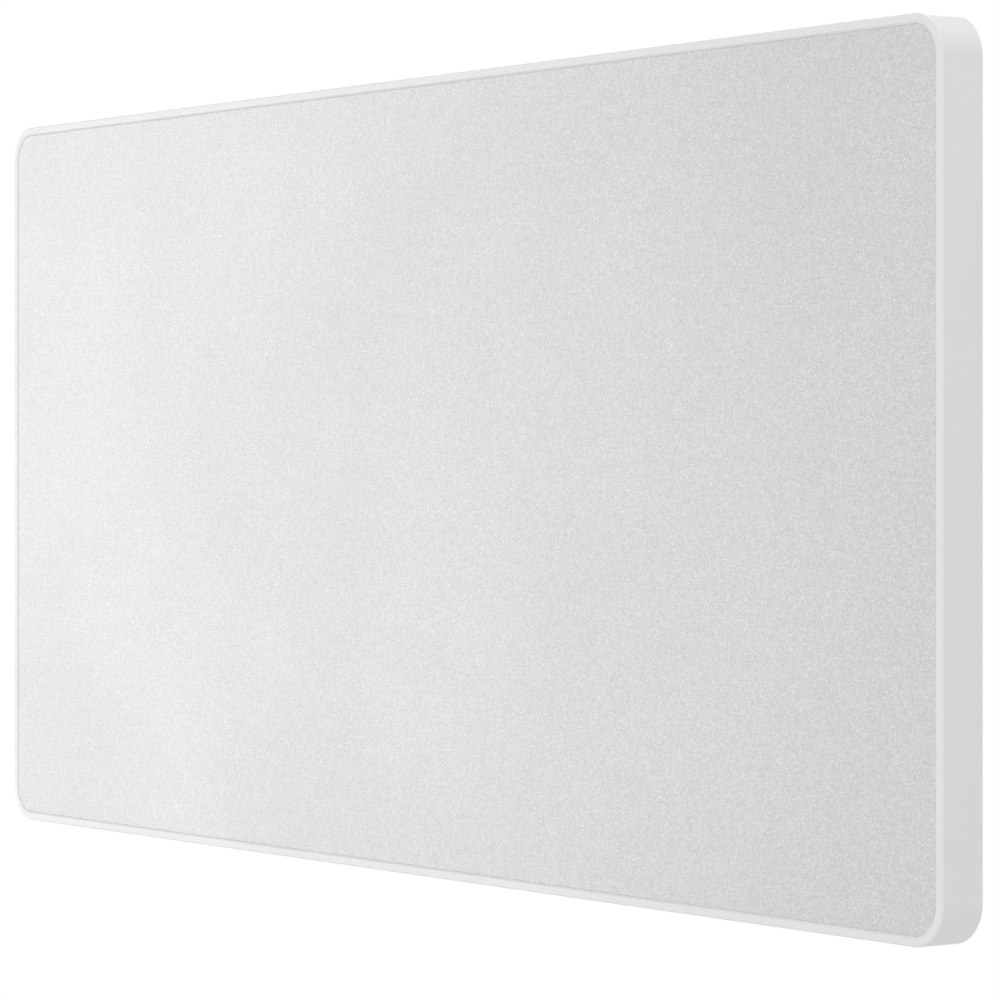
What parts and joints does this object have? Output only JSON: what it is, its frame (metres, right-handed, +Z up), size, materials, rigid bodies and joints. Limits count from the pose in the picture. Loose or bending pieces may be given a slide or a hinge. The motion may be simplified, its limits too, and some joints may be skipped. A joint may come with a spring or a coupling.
{
  "type": "wall battery unit",
  "caption": "Slim wide slab with rounded corners that stores energy: white frame, light grey flaked front panel, hung on a wall rail by a hook.",
  "frame": {"origin": "middle of the wall rail's back face, on the wall", "axes": "+X to the right seen from the front, +Y into the wall, +Z up"},
  "size_m": [1.23, 0.056, 0.6],
  "materials": {
    "frame_white": "aluminium extrusion with a satin white powder coat",
    "panel_flake": "aluminium sheet with a light grey textured coat and fine bright flakes",
    "back_sheet": "aluminium sheet, light grey powder coat",
    "cover_plastic": "moulded plastic, fine grain",
    "zinc_steel": "zinc-plated steel sheet",
    "pin_steel": "ground steel",
    "screw_steel": "stainless steel",
    "black_rubber": "matt rubber",
    "grey_rubber": "matt light grey rubber",
    "grey_foam": "closed-cell foam",
    "tray_plastic": "moulded plastic",
    "pouch_foil": "laminated aluminium foil",
    "copper": "bare copper strip",
    "board_green": "solder mask",
    "black_plastic": "moulded plastic, fine grain",
    "fuse_ceramic": "glazed ceramic body with plated caps",
    "socket_orange": "moulded plastic",
    "socket_black": "moulded plastic",
    "brass": "turned brass",
    "button_white": "moulded plastic, satin",
    "rocker_red": "moulded plastic, satin"
  },
  "bodies": {
    "rail": {"wall_rail": "zinc_steel"},
    "unit": {"bms_board": "board_green", "bumper_left": "black_rubber", "bumper_right": "black_rubber", "button_switch": "black_plastic", "cell_link_1": "copper", "cell_link_2": "copper", "cell_link_3": "copper", "cell_link_4": "copper", "cell_link_5": "copper", "cell_link_6": "copper", "cell_link_7": "copper", "cell_module_bottom_1": "pouch_foil", "cell_module_bottom_2": "pouch_foil", "cell_module_bottom_3": "pouch_foil", "cell_module_bottom_4": "pouch_foil", "cell_module_top_1": "pouch_foil", "cell_module_top_2": "pouch_foil", "cell_module_top_3": "pouch_foil", "cell_module_top_4": "pouch_foil", "cell_tray": "tray_plastic", "compression_pad": "grey_foam", "connector_box": "black_plastic", "contactor": "black_plastic", "cover_pin": "pin_steel", "data_socket": "black_plastic", "earth_stud": "brass", "front_panel": "panel_flake", "fuse_link": "copper", "hanger_cleat": "zinc_steel", "main_fuse": "fuse_ceramic", "negative_bar": "copper", "negative_lead": "copper", "negative_socket": "socket_black", "panel_gasket": "grey_rubber", "perimeter_frame": "frame_white", "positive_bar": "copper", "positive_lead": "copper", "positive_socket": "socket_orange", "rear_cover": "back_sheet", "rear_gasket": "black_rubber", "rear_screw_01": "screw_steel", "rear_screw_02": "screw_steel", "rear_screw_03": "screw_steel", "rear_screw_04": "screw_steel", "rear_screw_05": "screw_steel", "rear_screw_06": "screw_steel", "rear_screw_07": "screw_steel", "rear_screw_08": "screw_steel", "rear_screw_09": "screw_steel", "rear_screw_10": "screw_steel", "rocker_pin": "pin_steel", "shunt": "copper", "switch_body": "black_plastic", "vent_plug": "black_plastic"},
    "cover": {"connector_cover": "cover_plastic"},
    "button": {"power_button": "button_white"},
    "rocker": {"isolator_rocker": "rocker_red"}
  },
  "joints": [
    {"name": "lift_off", "type": "slide", "parent": "rail", "child": "unit", "axis": [0, 0, 1], "range_m": [0, 0.02]},
    {"name": "cover_hinge", "type": "hinge", "parent": "unit", "child": "cover", "pos_m": [0, -0.026, -0.2908], "axis": [1, 0, 0], "range_deg": [0, 95]},
    {"name": "button_press", "type": "slide", "parent": "unit", "child": "button", "axis": [0, 0, 1], "range_m": [0, 0.0012], "stiffness_N_per_m": 1500, "springref_m": -0.0008},
    {"name": "isolator_switch", "type": "hinge", "parent": "unit", "child": "rocker", "pos_m": [0.03, -0.0388, -0.484], "axis": [0, -1, 0], "range_deg": [0, 12]}
  ]
}
